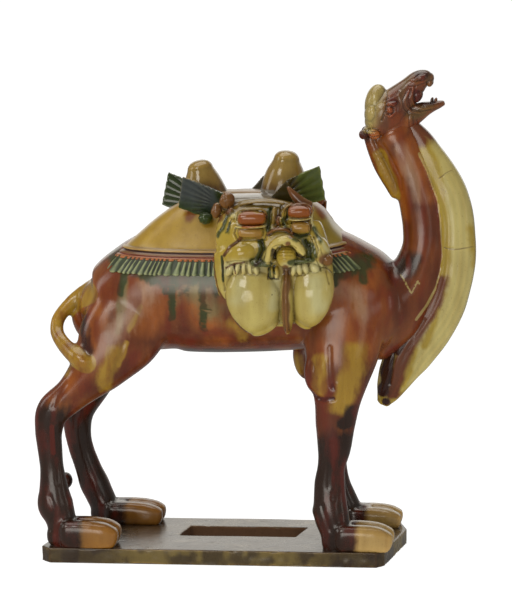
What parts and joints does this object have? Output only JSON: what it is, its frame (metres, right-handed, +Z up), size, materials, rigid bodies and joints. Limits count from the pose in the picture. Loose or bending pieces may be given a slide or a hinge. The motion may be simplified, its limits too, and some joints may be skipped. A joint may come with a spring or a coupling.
{
  "type": "glazed pottery camel figure",
  "caption": "Standing two-humped camel in three-colour glaze, head thrown back, carrying monster-mask saddle bags on a pierced plinth.",
  "frame": {"origin": "centre of the figure's plan box, on the level of the plinth's underside", "axes": "+X the way the camel faces, +Y to its left, +Z up"},
  "size_m": [0.7318, 0.3155, 0.8134],
  "materials": {
    "sancai_glaze": "glossy lead glaze on earthenware, in amber, cream and green"
  },
  "bodies": {
    "root": {"camel_figure": "sancai_glaze"}
  },
  "joints": []
}
